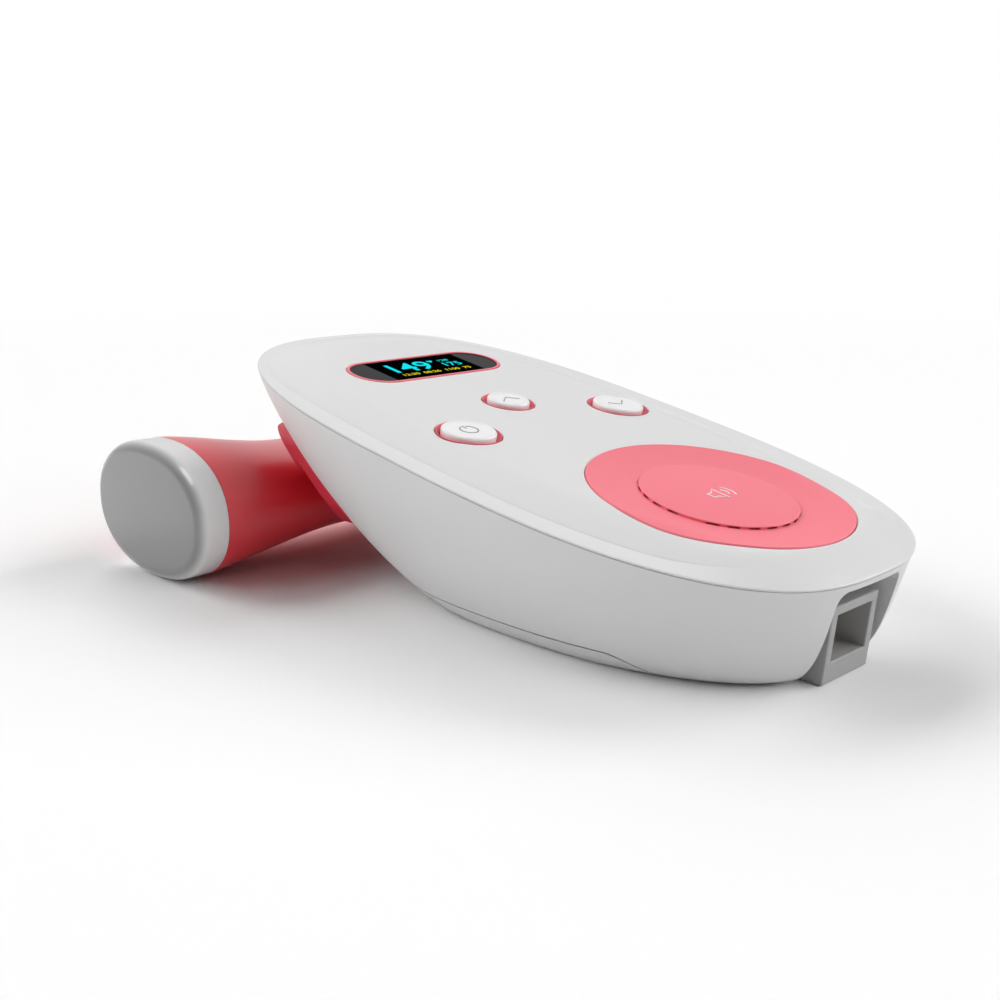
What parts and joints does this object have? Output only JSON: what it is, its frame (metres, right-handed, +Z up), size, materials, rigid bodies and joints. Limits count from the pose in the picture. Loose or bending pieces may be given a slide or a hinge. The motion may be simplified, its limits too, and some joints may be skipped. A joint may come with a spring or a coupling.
{
  "type": "fetal doppler",
  "caption": "Handheld fetal doppler: rounded body with a sloped face, round speaker, keys and display, and an oval waisted ultrasound probe lying in a cradle under its head.",
  "frame": {"origin": "point on the flat belly, on the surface that the device stands on, under the middle of the body's seam", "axes": "+Z up from the table, +Y towards the display end and the probe, +X to the right when the keys are read"},
  "size_m": [0.1067, 0.1502, 0.0445],
  "materials": {
    "cover_white": "satin",
    "housing_white": "satin",
    "key_white": "glossy",
    "coral": "satin",
    "handle_coral": "glossy",
    "smoked_window": "glossy, smoked",
    "oled_glass": "glossy",
    "black_plastic": "matt",
    "board_green": "solder mask",
    "steel": "bright",
    "magnet_metal": "plated",
    "foam": "foam",
    "cone_paper": "matt",
    "cell_wrap": "wrapped steel",
    "brass": "bright",
    "piezo_ceramic": "matt",
    "cork": "cork absorber",
    "rubber_grey": "matt"
  },
  "bodies": {
    "main_unit": {"top_cover": "cover_white", "bottom_housing": "housing_white", "lead_socket": "housing_white", "socket_pins": "brass", "probe_cradle": "coral", "dock_magnet_1": "magnet_metal", "dock_magnet_2": "magnet_metal", "display_bezel": "coral", "display_window": "smoked_window", "oled_module": "oled_glass", "display_carrier": "black_plastic", "power_button_ring": "coral", "up_button_ring": "coral", "down_button_ring": "coral", "power_switch": "black_plastic", "up_switch": "black_plastic", "down_switch": "black_plastic", "main_board": "board_green", "housing_screw_1": "steel", "housing_screw_2": "steel", "housing_screw_3": "steel", "housing_screw_4": "steel", "speaker_panel": "coral", "speaker_gasket": "foam", "speaker_frame": "steel", "speaker_cone": "cone_paper", "speaker_magnet": "magnet_metal", "battery_1": "cell_wrap", "battery_2": "cell_wrap", "bridge_contact": "steel", "negative_contact": "steel", "positive_contact": "steel", "head_contact_spring": "steel", "foot_contact_spring": "steel"},
    "power_key": {"power_button": "key_white", "power_plunger": "black_plastic"},
    "up_key": {"up_button": "key_white", "up_plunger": "black_plastic"},
    "down_key": {"down_button": "key_white", "down_plunger": "black_plastic"},
    "door": {"battery_door": "housing_white"},
    "probe": {"probe_handle": "handle_coral", "probe_face": "key_white", "probe_end_cap": "key_white", "probe_inlet": "rubber_grey", "piezo_sender": "piezo_ceramic", "piezo_receiver": "piezo_ceramic", "probe_backing": "cork", "probe_board": "board_green", "keeper_bar": "steel"}
  },
  "joints": [
    {"name": "power_press", "type": "slide", "parent": "main_unit", "child": "power_key", "axis": [0, 0.1833, -0.9831], "range_m": [0, 0.0006], "stiffness_N_per_m": 800, "springref_m": -0.001},
    {"name": "up_press", "type": "slide", "parent": "main_unit", "child": "up_key", "axis": [0, 0.1833, -0.9831], "range_m": [0, 0.0006], "stiffness_N_per_m": 800, "springref_m": -0.001},
    {"name": "down_press", "type": "slide", "parent": "main_unit", "child": "down_key", "axis": [0, 0.1833, -0.9831], "range_m": [0, 0.0006], "stiffness_N_per_m": 800, "springref_m": -0.001},
    {"name": "door_slide", "type": "slide", "parent": "main_unit", "child": "door", "axis": [0, 1, 0], "range_m": [0, 0.005]},
    {"name": "probe_undock", "type": "slide", "parent": "main_unit", "child": "probe", "axis": [0, 1, 0], "range_m": [0, 0.06]}
  ]
}
